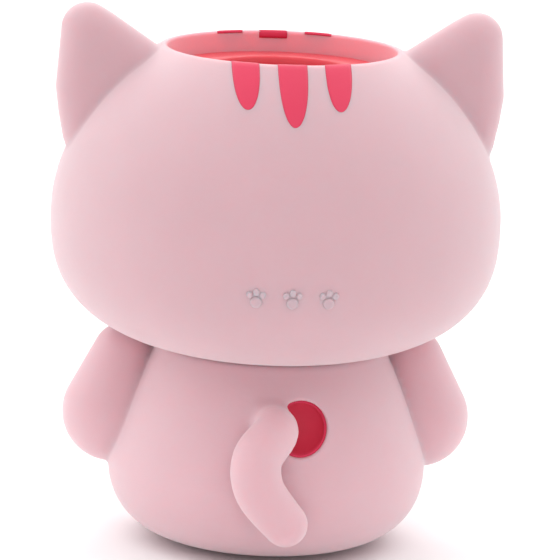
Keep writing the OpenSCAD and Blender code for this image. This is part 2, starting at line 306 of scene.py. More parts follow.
def smooth_path(points, steps):
    """A smooth curve through the points, with the given number of steps between neighbours."""
    ends = np.vstack([points[:1], points, points[-1:]])
    out = []
    for i in range(len(points) - 1):
        a, b, c, d = ends[i : i + 4]
        for k in range(steps):
            t = k / steps
            out.append(0.5 * (
                2 * b + (c - a) * t + (2 * a - 5 * b + 4 * c - d) * t**2 + (3 * b - a - 3 * c + d) * t**3
            ))
    out.append(points[-1])
    return np.array(out)


def tail_field(p):
    """Distance to the tail, worked out only near it."""
    near = (p[..., 1] < TAIL_HIGH.y + 8 * MM) & (np.abs(p[..., 0]) < 18 * MM)
    out = np.full(p.shape[:-1], 20 * MM)
    q = p[near]
    if len(q):
        line = smooth_path(TAIL_PATH, 7)
        best = np.full(len(q), 1.0)
        for a, b in zip(line[:-1], line[1:]):
            along = b[:3] - a[:3]
            t = np.clip(((q - a[:3]) @ along) / (along @ along), 0, 1)
            gap = np.linalg.norm(q - a[:3] - t[:, None] * along, axis=1) - (a[3] * (1 - t) + b[3] * t)
            best = np.minimum(best, gap)
        out[near] = best
    return out


def torso_outline(r, z, inset=0.0):
    """Distance to the torso's turned outline, moved inwards by inset."""
    s = shape()
    widest = TORSO_HIGH.x - inset
    bottom = TORSO_LOW.z + (2.8 * MM if inset else 0)
    flat = s.base_r - inset / 2
    out = np.maximum(r - flat, 0)
    down = np.maximum(s.torso_z - z, 0)
    lower = squircle(out, down, widest - flat, s.torso_z - bottom, s.torso_square)
    neck_z = TORSO_HIGH.z
    t = np.clip((z - s.torso_z) / (neck_z - s.torso_z), 0, 1.3)
    narrowing = TORSO_HIGH.x - s.neck_r
    radius = widest - narrowing * t**1.3
    slope = narrowing * 1.3 * t**0.3 / (neck_z - s.torso_z)
    upper = (r - radius) / np.sqrt(1 + slope**2)
    return np.where(z < s.torso_z, lower, upper)


def window_axis():
    """The middle of the round window, as x and z, and its radius."""
    middle = (INSERT_LOW + INSERT_HIGH) / 2
    return middle.x, middle.z, (INSERT_HIGH.x - INSERT_LOW.x) / 2


def body_field(p):
    """Distance to the torso's soft shell with its arms, its tail and the round window."""
    s = shape()
    r = np.hypot(p[..., 0], p[..., 1])
    z = p[..., 2]
    torso = smooth_max(torso_outline(r, z), z - (TORSO_HIGH.z - 0.1 * MM), 0.8 * MM)
    mirrored = p.copy()
    mirrored[..., 0] = np.abs(p[..., 0])
    arms = round_cone(mirrored, SHOULDER, PAW, SHOULDER_R, PAW_R)
    solid = smooth_min(torso, arms, 0.8 * MM)
    hollow = np.maximum(torso_outline(r, z, s.wall), z - (TORSO_HIGH.z - 3.2 * MM))
    seat = np.maximum(r - (s.neck_r - 2.5 * MM), 20 * MM - z)
    shell = smooth_max(solid, -np.minimum(hollow, seat), 0.6 * MM)
    x, mid_z, radius = window_axis()
    hole = np.maximum(np.hypot(p[..., 0] - x, z - mid_z) - radius + 0.04 * MM, p[..., 1])
    shell = smooth_max(shell, -hole, 0.6 * MM)
    # The tail grows smoothly out of the torso at its root, and only touches it lower down.
    root = np.clip((z - 24 * MM) / (8 * MM), 0, 1)
    return smooth_min(shell, tail_field(p), (0.4 + 1.4 * root) * MM)


# ---------------------------------------------------------------- meshes


def field_gradient(field, p, step=0.05 * MM):
    out = np.empty_like(p)
    for axis in range(3):
        shift = np.zeros(3)
        shift[axis] = step
        out[..., axis] = (field(p + shift) - field(p - shift)) / (2 * step)
    return out


def project(field, p, rounds=4):
    """Moves points onto the field's zero surface. Returns them with their outward normals."""
    for _ in range(rounds):
        g = field_gradient(field, p)
        size = np.maximum(np.sum(g * g, axis=-1, keepdims=True), 0.05)
        move = field(p)[..., None] * g / size
        length = np.linalg.norm(move, axis=-1, keepdims=True)
        p = p - move * np.minimum(1, 0.5 * MM / np.maximum(length, 1e-9))
    g = field_gradient(field, p)
    return p, g / np.maximum(np.linalg.norm(g, axis=-1, keepdims=True), 1e-9)


def surface_net(field, axes, to_space, wrap=False):
    """Points and four-sided faces of the field's zero surface on a grid.

    axes holds the grid's coordinates along each of its directions, and to_space turns grid
    coordinates into points. With wrap, the last cell along the first direction is the first again.
    """
    counts = [len(a) for a in axes]
    values = np.empty(counts)
    slab = 24
    for i in range(0, counts[0], slab):
        grid = np.stack(np.meshgrid(axes[0][i : i + slab], axes[1], axes[2], indexing="ij"), axis=-1)
        values[i : i + slab] = field(to_space(grid))
    negative = values < 0
    cells = [c - 1 for c in counts]

    def corner(array, offset):
        return array[tuple(slice(o, o + c) for o, c in zip(offset, cells))]

    total = np.zeros(cells)
    place = np.zeros(cells + [3])
    for axis in range(3):
        for j, k in ((0, 0), (0, 1), (1, 0), (1, 1)):
            start = [0, 0, 0]
            start[(axis + 1) % 3] = j
            start[(axis + 2) % 3] = k
            end = list(start)
            end[axis] = 1
            here, there = corner(values, start), corner(values, end)
            crossed = corner(negative, start) != corner(negative, end)
            share = np.where(crossed, here / np.where(crossed, here - there, 1), 0)
            point = np.array(start, float) * np.ones(cells + [3])
            point[..., axis] = share
            place += np.where(crossed[..., None], point, 0)
            total += crossed
    used = total > 0
    if wrap:
        used[-1] = False
    index = np.full(cells, -1)
    index[used] = np.arange(int(used.sum()))
    if wrap:
        index[-1] = index[0]
    steps = np.stack(np.nonzero(used), axis=-1) + place[used] / total[used][:, None]
    grid = [np.interp(steps[:, i], np.arange(counts[i]), axes[i]) for i in range(3)]
    points = to_space(np.stack(grid, axis=-1))
    faces = []
    for axis in range(3):
        u, v = (axis + 1) % 3, (axis + 2) % 3
        first = [slice(1, c) for c in cells]
        second = list(first)
        first[axis] = slice(0, cells[axis])
        second[axis] = slice(1, cells[axis] + 1)
        if wrap and axis == 0:
            first[0] = slice(0, cells[0] - 1)
            second[0] = slice(1, cells[0])
        near, far = negative[tuple(first)], negative[tuple(second)]
        start = np.stack(np.nonzero(near != far), axis=-1)
        start[:, u] += 1
        start[:, v] += 1
        ring = []
        for du, dv in ((1, 1), (0, 1), (0, 0), (1, 0)):
            cell = start.copy()
            cell[:, u] -= du
            cell[:, v] -= dv
            ring.append(index[cell[:, 0], cell[:, 1], cell[:, 2]])
        quads = np.stack(ring, axis=-1)
        inward = far[near != far]
        quads[inward] = quads[inward][:, ::-1]
        faces.append(quads)
    return points, np.concatenate(faces)


def steps_between(*stops):
    """Coordinates from the first stop on, given as (start, step), (start, step) ... (end, None)."""
    out = []
    for (start, step), (end, _) in zip(stops[:-1], stops[1:]):
        out.extend(np.arange(start, end - step / 2, step))
    out.append(stops[-1][0])
    return np.array(out)


def from_polar(grid):
    turn, r, z = grid[..., 0], grid[..., 1], grid[..., 2]
    return np.stack([r * np.cos(turn), r * np.sin(turn), z], axis=-1)


def as_it_is(grid):
    return grid


def new_mesh(name, points, faces, material, body):
    """A smooth-shaded object from points and faces, riding on a body of the frame."""
    mesh = bpy.data.meshes.new(name)
    mesh.from_pydata([tuple(p) for p in points], [], [tuple(int(i) for i in f) for f in faces])
    mesh.validate()
    mesh.update()
    mesh.polygons.foreach_set("use_smooth", [True] * len(mesh.polygons))
    piece = bpy.data.objects.new(name, mesh)
    bpy.context.scene.collection.objects.link(piece)
    mesh.materials.append(material)
    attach(piece, body)
    return piece


def skin(name, field, axes, to_space, wrap, material):
    """A soft skin: the field's surface, laid exactly on the field's zero level."""
    points, faces = surface_net(field, axes, to_space, wrap)
    points, _ = project(field, points, 3)
    for _ in range(2):
        points, _ = project(field, relaxed(points, faces), 2)
    return new_mesh(name, points, faces, material, "shell")


def relaxed(points, faces):
    """The points, each moved half-way to the middle of its neighbours."""
    total = np.zeros_like(points)
    count = np.zeros(len(points))
    for k in range(4):
        here, there = faces[:, k], faces[:, (k + 1) % 4]
        for a, b in ((here, there), (there, here)):
            np.add.at(total, a, points[b])
            np.add.at(count, a, 1)
    return (points + total / np.maximum(count, 1)[:, None]) / 2


def lathe(profile, sides):
    """Points and faces of a closed outline of (radius, height) turned round the Z axis."""
    angles = np.linspace(0, 2 * math.pi, sides, endpoint=False)
    count = len(profile)
    points = [(r * math.cos(a), r * math.sin(a), z) for r, z in profile for a in angles]
    faces = []
    for i in range(count - 1):
        for k in range(sides):
            k2 = (k + 1) % sides
            faces.append((i * sides + k, i * sides + k2, (i + 1) * sides + k2, (i + 1) * sides + k))
    return points, faces


def rounded(outline, radius, steps=5):
    """An open outline of (radius, height) with each inner corner rounded."""
    out = [outline[0]]
    for before, here, after in zip(outline[:-2], outline[1:-1], outline[2:]):
        h = Vector(here)
        a = Vector(before) - h
        b = Vector(after) - h
        cut = min(radius, a.length * 0.45, b.length * 0.45)
        start = h + a.normalized() * cut
        end = h + b.normalized() * cut
        for i in range(steps + 1):
            t = i / steps
            out.append(tuple((1 - t) ** 2 * start + 2 * t * (1 - t) * h + t**2 * end))
    out.append(outline[-1])
    return out


def grid_faces(rows, columns, closed=False):
    faces = []
    for i in range(rows - 1):
        for j in range(columns if closed else columns - 1):
            k = (j + 1) % columns
            faces.append((i * columns + j, i * columns + k, (i + 1) * columns + k, (i + 1) * columns + j))
    return faces


def laid_disc(field, outline, height, sink=0.35 * MM, rings=7):
    """A domed patch laid on a skin.

    outline holds points near the skin, and height is how far the patch rises at its middle.
    """
    outline = np.asarray(outline, float)
    middle = outline.mean(axis=0)
    shares = np.sin(np.linspace(0, math.pi / 2, rings))
    rows = [middle + (outline - middle) * share for share in np.maximum(shares, 0.02)]
    points, normals = project(field, np.array(rows))
    rise = height * (1 - shares[:, None, None] ** 6) ** 0.5
    top = points + normals * rise
    under = points[-1:] - normals[-1:] * sink
    stack = np.concatenate([top, under])
    count = len(outline)
    faces = grid_faces(len(stack), count, closed=True)
    faces.append(tuple(range(count)))
    faces.append(tuple(reversed(range((len(stack) - 1) * count, len(stack) * count))))
    return stack.reshape(-1, 3), faces


def join(parts):
    """One list of points and faces from several."""
    points, faces = [], []
    for part_points, part_faces in parts:
        start = len(points)
        points.extend(tuple(p) for p in part_points)
        faces.extend(tuple(start + i for i in f) for f in part_faces)
    return points, faces


# ---------------------------------------------------------------- finishes


def new_material(name, color, roughness, **sockets):
    """A material whose shader has its constant values on its own sockets."""
    material = bpy.data.materials.new(name)
    material.use_nodes = True
    shader = material.node_tree.nodes["Principled BSDF"]
    shader.inputs["Base Color"].default_value = (*color, 1)
    shader.inputs["Roughness"].default_value = roughness
    for socket, value in sockets.items():
        shader.inputs[socket.replace("_", " ")].default_value = value
    material.diffuse_color = (*color, 1)
    return material


def add_noise(material, scale, detail=3):
    """A noise texture in the object's own space."""
    nodes, links = material.node_tree.nodes, material.node_tree.links
    place = nodes.new("ShaderNodeTexCoord")
    noise = nodes.new("ShaderNodeTexNoise")
    noise.inputs["Scale"].default_value = scale
    noise.inputs["Detail"].default_value = detail
    links.new(place.outputs["Object"], noise.inputs["Vector"])
    return noise


def vary_color(material, color, scale, spread):
    """Lets the colour drift a little between a lighter and a darker shade."""
    nodes, links = material.node_tree.nodes, material.node_tree.links
    noise = add_noise(material, scale)
    ramp = nodes.new("ShaderNodeValToRGB")
    ramp.color_ramp.elements[0].position = 0.3
    ramp.color_ramp.elements[1].position = 0.7
    ramp.color_ramp.elements[0].color = (*[max(0, c * (1 - spread)) for c in color], 1)
    ramp.color_ramp.elements[1].color = (*[min(1, c * (1 + spread)) for c in color], 1)
    links.new(noise.outputs["Fac"], ramp.inputs["Fac"])
    links.new(ramp.outputs["Color"], nodes["Principled BSDF"].inputs["Base Color"])


def vary_roughness(material, scale, low, high):
    nodes, links = material.node_tree.nodes, material.node_tree.links
    noise = add_noise(material, scale, 4)
    spread = nodes.new("ShaderNodeMapRange")
    set_range(spread, 0.3, 0.7, low, high)
    links.new(noise.outputs["Fac"], spread.inputs["Value"])
    links.new(spread.outputs["Result"], nodes["Principled BSDF"].inputs["Roughness"])


def add_grain(material, layers):
    """Fine bumps of the moulded surface. layers holds (scale, strength, depth) of each noise."""
    nodes, links = material.node_tree.nodes, material.node_tree.links
    normal = None
    for scale, strength, depth in layers:
        noise = add_noise(material, scale, 2)
        bump = nodes.new("ShaderNodeBump")
        bump.inputs["Strength"].default_value = strength
        bump.inputs["Distance"].default_value = depth
        links.new(noise.outputs["Fac"], bump.inputs["Height"])
        if normal:
            links.new(normal, bump.inputs["Normal"])
        normal = bump.outputs["Normal"]
    links.new(normal, nodes["Principled BSDF"].inputs["Normal"])


def silicone(name, color, roughness, softness, sheen, spread=0.03, grain=1.0):
    """Soft moulded silicone: matte, faintly see-through, with a fine moulded grain."""
    material = new_material(
        name,
        color,
        roughness,
        Subsurface_Weight=softness,
        Subsurface_Radius=(1.0, 0.35, 0.35),
        Subsurface_Scale=4 * MM,
        Specular_IOR_Level=0.35,
        Sheen_Weight=sheen,
        Sheen_Roughness=0.6,
    )
    vary_color(material, color, 55, spread)
    vary_roughness(material, 160, roughness - 0.06, roughness + 0.05)
    add_grain(material, [(900, 0.10 * grain, 0.2 * MM), (3800, 0.12 * grain, 0.06 * MM)])
    return material


def body_silicone():
    # The lift on the pale colour is painted light on the body.
    color = tuple(c * BODY_PAINTED_LIGHT for c in finish().pale)
    return silicone("body_silicone", color, 0.55, 0.75, 0.4, 0.015)


def head_silicone():
    """Pale silicone whose colour deepens to pink down the wall of the throat: painted pink bounce light from
    the pieces below, and painted shade deeper in.
    """
    material = silicone("head_silicone", finish().pale, 0.55, 0.75, 0.4, 0.015)
    nodes, links = material.node_tree.nodes, material.node_tree.links
    shader = nodes["Principled BSDF"]
    skin_color = shader.inputs["Base Color"].links[0].from_socket
    place = nodes.new("ShaderNodeTexCoord")
    flat = nodes.new("ShaderNodeVectorMath")
    flat.operation = "MULTIPLY"
    flat.inputs[1].default_value = (1, 1, 0)
    reach = nodes.new("ShaderNodeVectorMath")
    reach.operation = "LENGTH"
    inside = nodes.new("ShaderNodeMapRange")
    throat_r = shape().rim_r - shape().rim_wall
    set_range(inside, throat_r + 0.6 * MM, throat_r + 0.1 * MM, 0, 1)
    split = nodes.new("ShaderNodeSeparateXYZ")
    depth = nodes.new("ShaderNodeMapRange")
    set_range(depth, HEAD_HIGH.z, ledge_height() + 2.5 * MM, 0.45, 0.9)
    above = nodes.new("ShaderNodeMapRange")
    set_range(above, ledge_height() - 6 * MM, ledge_height() - 2 * MM, 0, 1)
    both = nodes.new("ShaderNodeMath")
    both.operation = "MULTIPLY"
    painted_bounce_mask = nodes.new("ShaderNodeMath")
    painted_bounce_mask.operation = "MULTIPLY"
    # This mix paints pink bounce light and shade into the skin's colour, stronger deeper down the throat
    # wall.
    painted_bounce_mix = nodes.new("ShaderNodeMix")
    painted_bounce_mix.data_type = "RGBA"
    painted_bounce_mix.inputs["B"].default_value = (*finish().throat, 1)
    links.new(place.outputs["Object"], flat.inputs[0])
    links.new(flat.outputs["Vector"], reach.inputs[0])
    links.new(reach.outputs["Value"], inside.inputs["Value"])
    links.new(place.outputs["Object"], split.inputs["Vector"])
    links.new(split.outputs["Z"], depth.inputs["Value"])
    links.new(inside.outputs["Result"], both.inputs[0])
    links.new(depth.outputs["Result"], both.inputs[1])
    links.new(split.outputs["Z"], above.inputs["Value"])
    links.new(both.outputs["Value"], painted_bounce_mask.inputs[0])
    links.new(above.outputs["Result"], painted_bounce_mask.inputs[1])
    links.new(painted_bounce_mask.outputs["Value"], painted_bounce_mix.inputs["Factor"])
    links.new(skin_color, painted_bounce_mix.inputs["A"])
    links.new(painted_bounce_mix.outputs["Result"], shader.inputs["Base Color"])
    return material


def set_range(node, start, end, low, high):
    node.inputs["From Min"].default_value = start
    node.inputs["From Max"].default_value = end
    node.inputs["To Min"].default_value = low
    node.inputs["To Max"].default_value = high


def hot_silicone():
    return bpy.data.materials.get("hot_silicone") or silicone("hot_silicone", finish().hot, 0.5, 0.15, 0.05)


def sleeve_silicone():
    found = bpy.data.materials.get("sleeve_silicone")
    return found or silicone("sleeve_silicone", finish().sleeve, 0.42, 0.35, 0.05)


def cup_plastic():
    found = bpy.data.materials.get("cup_plastic")
    if found:
        return found
    color = finish().cup
    material = new_material("cup_plastic", color, 0.35, Coat_Weight=0.15, Coat_Roughness=0.3)
    vary_color(material, color, 40, 0.05)
    vary_roughness(material, 220, 0.3, 0.42)
    add_grain(material, [(700, 0.06, 0.2 * MM)])
    return material


def base_rubber():
    found = bpy.data.materials.get("base_rubber")
    if found:
        return found
    color = tuple(c * 0.85 for c in finish().hot)
    return silicone("base_rubber", color, 0.7, 0.05, 0.1, 0.06, 2.0)


def eye_gloss():
    found = bpy.data.materials.get("eye_gloss")
    if found:
        return found
    color = (0.02, 0.008, 0.01)
    material = new_material(
        "eye_gloss", color, 0.15, Specular_IOR_Level=0.12, Coat_Weight=0.1, Coat_Roughness=0.05
    )
    vary_color(material, color, 300, 0.2)
    vary_roughness(material, 300, 0.1, 0.16)
    return material


# ---------------------------------------------------------------- pieces


def build_head():
    """The head and its ears, on a grid that runs round the axis and is finer at the thin rim."""
    s = shape()
    step, fine = s.skin_step, s.skin_step / 2
    sides = 340
    turns = np.linspace(0, 2 * math.pi, sides + 1)
    turns = np.append(turns, turns[-1] + turns[1])
    inner = s.rim_r - 4 * MM
    radii = steps_between(
        (12 * MM, step), (inner, fine), (s.rim_r + 3 * MM, step), (EAR_HIGH.x + 3 * MM, None)
    )
    heights = steps_between(
        (TORSO_HIGH.z - 9 * MM, step), (ledge_height() - 3 * MM, fine), (HEAD_HIGH.z + 1 * MM, step),
        (EAR_HIGH.z + 2 * MM, None),
    )
    piece = skin("head_skin", head_field, (turns, radii, heights), from_polar, True, head_silicone())
    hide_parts("head_shell", "left_ear", "right_ear")


def build_body():
    """The torso with its arms and its tail, on a grid that is finer at the round window."""
    step = shape().skin_step
    fine = step / 3
    margin = 2 * MM
    x, z, radius = window_axis()
    edge = radius + 1.5 * MM
    axes = (
        steps_between(
            (-ARM_HIGH.x - margin, step), (x - edge, fine), (x + edge, step), (ARM_HIGH.x + margin, None)
        ),
        steps_between(
            (TAIL_LOW.y - margin, step), (INSERT_LOW.y - 2 * MM, fine), (INSERT_LOW.y + 3 * MM, step),
            (TORSO_HIGH.y + margin, None),
        ),
        steps_between(
            (-0.4 * MM, step), (z - edge, fine), (z + edge, step), (TORSO_HIGH.z + 2 * margin, None)
        ),
    )
    piece = skin("body_skin", body_field, axes, as_it_is, False, body_silicone())
    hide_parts("torso_shell", "left_arm", "right_arm", "tail")


def stripe_half_width(t):
    """Share of a stripe's half-width at t, from 0 at the rim to 1 at its tip."""
    return math.sqrt(1 - t**2.3)


def build_stripe(node, side, wrap):
    """One stripe, from inside the throat over the rim and down the head to its rounded tip."""
    low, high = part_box(node)
    middle = (low.x + high.x) / 2
    half = (high.x - low.x) / 2
    length = HEAD_HIGH.z - low.z
    s = shape()
    rim_z = HEAD_HIGH.z
    throat_r = s.rim_r - s.rim_wall
    path = [(throat_r, rim_z - wrap * (1 - i / 3), 0) for i in range(3)]
    path += [(throat_r + (s.rim_r - throat_r) * i / 6, rim_z, 0) for i in range(1, 6)]
    steps = 26
    for i in range(steps + 1):
        t = math.sin(math.pi / 2 * i / steps)
        z = rim_z - 0.3 * MM - (length - 0.3 * MM) * t
        path.append((outline_radius(z), z, t))
    across = np.linspace(-1, 1, 13)
    rows = []
    for r, z, t in path:
        x = middle + across * half * stripe_half_width(min(t, 0.9995))
        turn = np.arcsin(np.clip(x / r, -1, 1))
        rows.append(np.stack([r * np.sin(turn), side * r * np.cos(turn), np.full(len(x), z)], axis=-1))
    points, normals = project(head_field, np.array(rows))
    edge = np.minimum(1, (1 - np.abs(across)) * 8)[None, :, None]
    top = points + normals * (0.03 + 0.05 * edge) * MM
    under = points - normals * 0.5 * MM
    columns = len(across)
    count = len(rows) * columns
    faces = grid_faces(len(rows), columns)
    faces += [tuple(count + i for i in reversed(f)) for f in faces]
    ring = [j for j in range(columns)]
    ring += [i * columns + columns - 1 for i in range(1, len(rows))]
    ring += [(len(rows) - 1) * columns + j for j in range(columns - 2, -1, -1)]
    ring += [i * columns for i in range(len(rows) - 2, 0, -1)]
    for a, b in zip(ring, ring[1:] + ring[:1]):
        faces.append((b, a, count + a, count + b))
    all_points = np.concatenate([top.reshape(-1, 3), under.reshape(-1, 3)])
    piece = new_mesh(node + "_inlay", all_points, faces, hot_silicone(), "shell")
    mend_normals(piece)
    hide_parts(node)


def outline_radius(z):
    """Radius of the head's skin at height z."""
    s = shape()
    widest = HEAD_HIGH.x
    if z > s.head_z:
        rim_share = (1 - (s.rim_r / widest) ** s.top_square) ** (1 / s.top_square)
        rise = (HEAD_HIGH.z - s.head_z) / rim_share
        return widest * (1 - ((z - s.head_z) / rise) ** s.top_square) ** (1 / s.top_square)
    return widest * (1 - ((s.head_z - z) / s.head_drop) ** s.low_square) ** (1 / s.low_square)


def mend_normals(piece):
    """Joins doubled points and turns every face outwards."""
    work = bmesh.new()
    work.from_mesh(piece.data)
    bmesh.ops.remove_doubles(work, verts=work.verts, dist=0.002 * MM)
    bmesh.ops.dissolve_degenerate(work, edges=work.edges, dist=0.001 * MM)
    bmesh.ops.recalc_face_normals(work, faces=work.faces)
    work.to_mesh(piece.data)
    work.free()
    piece.data.polygons.foreach_set("use_smooth", [True] * len(piece.data.polygons))


def on_head(x, z, side):
    """A point on the head's skin at the given place, seen from the back (-1) or the front (1)."""
    r = outline_radius(z)
    return (x, side * math.sqrt(max(r * r - x * x, 0)), z)


def paw_print(turn, height):
    """A pad and three toes, raised on the back of the head at the given turn."""
    pads = [(0, -0.7, 1.2, 1.0), (-1.35, 0.9, 0.6, 0.75), (0, 1.45, 0.65, 0.8), (1.35, 0.9, 0.6, 0.75)]
    r = outline_radius(height)
    parts = []
    for u, v, radius, narrow in pads:
        outline = []
        for k in range(24):
            a = 2 * math.pi * k / 24
            x = (u + radius * math.cos(a)) * MM
            z = height + (v + radius * math.sin(a) * (1 if narrow == 1 else 1.1)) * MM
            angle = turn + x / r
            outline.append((outline_radius(z) * math.sin(angle), -outline_radius(z) * math.cos(angle), z))
        parts.append(laid_disc(head_field, outline, 0.4 * MM))
    return join(parts)


def build_paw_prints():
    height = 60.8 * MM
    step = math.radians(9)
    points, faces = join([paw_print(i * step, height) for i in (-1, 0, 1)])
    piece = new_mesh("paw_prints", points, faces, bpy.data.materials["head_silicone"], "shell")
    mend_normals(piece)


def oval_on_head(node, height, lift, power=2.0):
    """The outline of a node's oval on the front of the head."""
    low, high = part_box(node)
    x, z = (low.x + high.x) / 2, (low.z + high.z) / 2
    half_x, half_z = (high.x - low.x) / 2, (high.z - low.z) / 2
    outline = []
    for k in range(40):
        a = 2 * math.pi * k / 40
        c, s = math.cos(a), math.sin(a)
        u = math.copysign(abs(c) ** (2 / power), c)
        v = math.copysign(abs(s) ** (2 / power), s)
        outline.append(on_head(x + half_x * u * (1 + lift * v), z + half_z * v, 1))
    return laid_disc(head_field, outline, height)


def build_face():
    for node, material, height, lift in (
        ("left_eye", eye_gloss(), 0.6 * MM, 0),
        ("right_eye", eye_gloss(), 0.6 * MM, 0),
        ("nose", hot_silicone(), 0.8 * MM, 0.25),
    ):
        points, faces = oval_on_head(node, height, lift, 2.3 if node == "nose" else 2.0)
        piece = new_mesh(node + "_button", points, faces, material, "shell")
        mend_normals(piece)
        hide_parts(node)
    build_mouth()
    for side in (-1, 1):
        build_whiskers(side)


def laid_line(field, path, radii, sides=10):
    """A rounded line laid half into a skin along a path of points near it."""
    points, normals = project(field, np.array(path))
    rows = []
    count = len(points)
    for i in range(count):
        along = points[min(i + 1, count - 1)] - points[max(i - 1, 0)]
        along = along / np.linalg.norm(along)
        across = np.cross(normals[i], along)
        for k in range(sides):
            a = 2 * math.pi * k / sides
            rows.append(points[i] + radii[i] * (math.cos(a) * across + math.sin(a) * normals[i]))
    faces = grid_faces(count, sides, closed=True)
    faces.append(tuple(reversed(range(sides))))
    faces.append(tuple(range((count - 1) * sides, count * sides)))
    return np.array(rows), faces


def build_mouth():
    low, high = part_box("mouth")
    half = (high.x - low.x) / 4
    top = high.z - 0.2 * MM
    parts = []
    steps = 20
    for side in (-1, 1):
        path, radii = [], []
        for i in range(steps + 1):
            a = math.pi * i / steps
            x = side * (half - half * math.cos(a)) * 0.96
            path.append(on_head(x, top - half * math.sin(a) * 0.95, 1))
            radii.append((0.25 + 0.2 * math.sin(a) ** 0.5) * MM)
        parts.append(laid_line(head_field, path, radii))
    points, faces = join(parts)
    piece = new_mesh("mouth_line", points, faces, hot_silicone(), "shell")
    mend_normals(piece)
    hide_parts("mouth")


def build_whiskers(side):
    node = "left_whiskers" if side < 0 else "right_whiskers"
    low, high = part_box(node)
    inner, outer = sorted((abs(low.x), abs(high.x)))
    middle = (low.z + high.z) / 2
    parts = []
    for row in (-1, 0, 1):
        path, radii = [], []
        for i in range(17):
            t = i / 16
            x = inner + (outer - inner) * t
            z = middle + row * (3.3 + 1.4 * t) * MM - 0.25 * MM * math.sin(math.pi * t)
            path.append(on_head(side * x, z, 1))
            radii.append((0.12 + 0.33 * math.sin(math.pi * (0.12 + 0.8 * (1 - t))) ** 0.7) * MM)
        parts.append(laid_line(head_field, path, radii))
    points, faces = join(parts)
    piece = new_mesh(node + "_lines", points, faces, hot_silicone(), "shell")
    mend_normals(piece)
    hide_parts(node)


# The outline of the coloured panel in the front of an ear: x and z of each corner.
EAR_PANEL = np.array([[33.6, 101.4], [39.2, 108.6], [42.4, 108.4], [44.2, 97.0], [42.4, 94.8]]) * MM


def soften(outline, steps, rounds):
    """A closed outline with steps points on each side, its corners rounded by repeated averaging."""
    following = np.roll(outline, -1, axis=0)
    dense = [a + (b - a) * k / steps for a, b in zip(outline, following) for k in range(steps)]
    dense = np.array(dense)
    for _ in range(rounds):
        dense = (np.roll(dense, 1, axis=0) + 2 * dense + np.roll(dense, -1, axis=0)) / 4
    return dense


def build_ear_linings():
    """The coloured panels laid in the dished fronts of the ears."""
    outline = soften(EAR_PANEL, 12, 10)
    for side, node in ((-1, "left_ear_lining"), (1, "right_ear_lining")):
        placed = [(side * x, 5.5 * MM, z) for x, z in outline]
        points, faces = laid_disc(head_field, placed, 0.12 * MM, rings=10)
        piece = new_mesh(node + "_panel", points, faces, hot_silicone(), "shell")
        mend_normals(piece)
        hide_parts(node)


def build_window_insert():
    """The blind bowl that lines the window. Its mouth follows the torso's curve."""
    x, z, radius = window_axis()
    lip = 0.55 * MM
    recess = 1.0 * MM
    back, mouth = INSERT_HIGH.y, INSERT_LOW.y
    bowl = back - 0.9 * MM
    bowl_steps = 10
    outline = [
        (AXIS_GAP, back), (radius, back), (radius, mouth), (radius - lip, mouth), (radius - lip, mouth + lip)
    ]
    profile = rounded(outline, 0.5 * MM, 5)
    for i in range(1, bowl_steps + 1):
        turn = math.pi / 2 * i / bowl_steps
        y = mouth + lip + (bowl - mouth - lip) * math.sin(turn)
        profile.append((max((radius - lip) * math.cos(turn), 0.02 * MM), y))
    sides = 64
    rows = []
    for r, y in profile:
        for k in range(sides):
            turn = 2 * math.pi * k / sides
            px, pz = x + r * math.cos(turn), z + r * math.sin(turn)
            share = (back - y) / (back - mouth)
            mouth_y = recess - math.sqrt(torso_radius(pz) ** 2 - px**2)
            rows.append((px, back + (mouth_y - back) * share, pz))
    faces = grid_faces(len(profile), sides, closed=True)
    piece = new_mesh("window_lining", rows, faces, hot_silicone(), "shell")
    mend_normals(piece)
    # The bowl's floor takes the deep red cup plastic: painted shade, a darker material standing in for the
    # shade deep in the recess.
    piece.data.materials.append(cup_plastic())
    for face in piece.data.polygons:
        if math.hypot(face.center.x - x, face.center.z - z) < radius - lip - 0.1 * MM:
            face.material_index = 1
    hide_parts("window_insert")


def torso_radius(z):
    """Radius of the torso's skin at height z, above its widest part."""
    s = shape()
    t = min(max((z - s.torso_z) / (TORSO_HIGH.z - s.torso_z), 0), 1)
    return TORSO_HIGH.x - (TORSO_HIGH.x - s.neck_r) * t**1.3


def build_base_pad():
    """The non-slip pad, with rings of small grip nubs on its underside."""
    r = PAD_HIGH.x
    outline = [(AXIS_GAP, PAD_HIGH.z), (r, PAD_HIGH.z), (r, PAD_LOW.z), (r - 1.6 * MM, PAD_LOW.z),
               (r - 2.2 * MM, PAD_LOW.z + 0.4 * MM), (AXIS_GAP, PAD_LOW.z + 0.4 * MM)]
    parts = [lathe(rounded(outline, 0.35 * MM, 4), 72)]
    for ring, count in ((3.5, 8), (7, 16), (10.3, 24)):
        for k in range(count):
            a = 2 * math.pi * k / count
            nub = rounded([(AXIS_GAP, PAD_LOW.z), (0.75 * MM, PAD_LOW.z), (0.9 * MM, PAD_LOW.z + 0.6 * MM),
                           (AXIS_GAP, PAD_LOW.z + 0.6 * MM)], 0.25 * MM, 3)
            points, faces = lathe(nub, 16)
            shift = np.array([ring * math.cos(a), ring * math.sin(a), 0]) * MM
            parts.append((np.array(points) + shift, faces))
    points, faces = join(parts)
    piece = new_mesh("grip_pad", points, faces, base_rubber(), "shell")
    mend_normals(piece)
    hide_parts("base_pad")


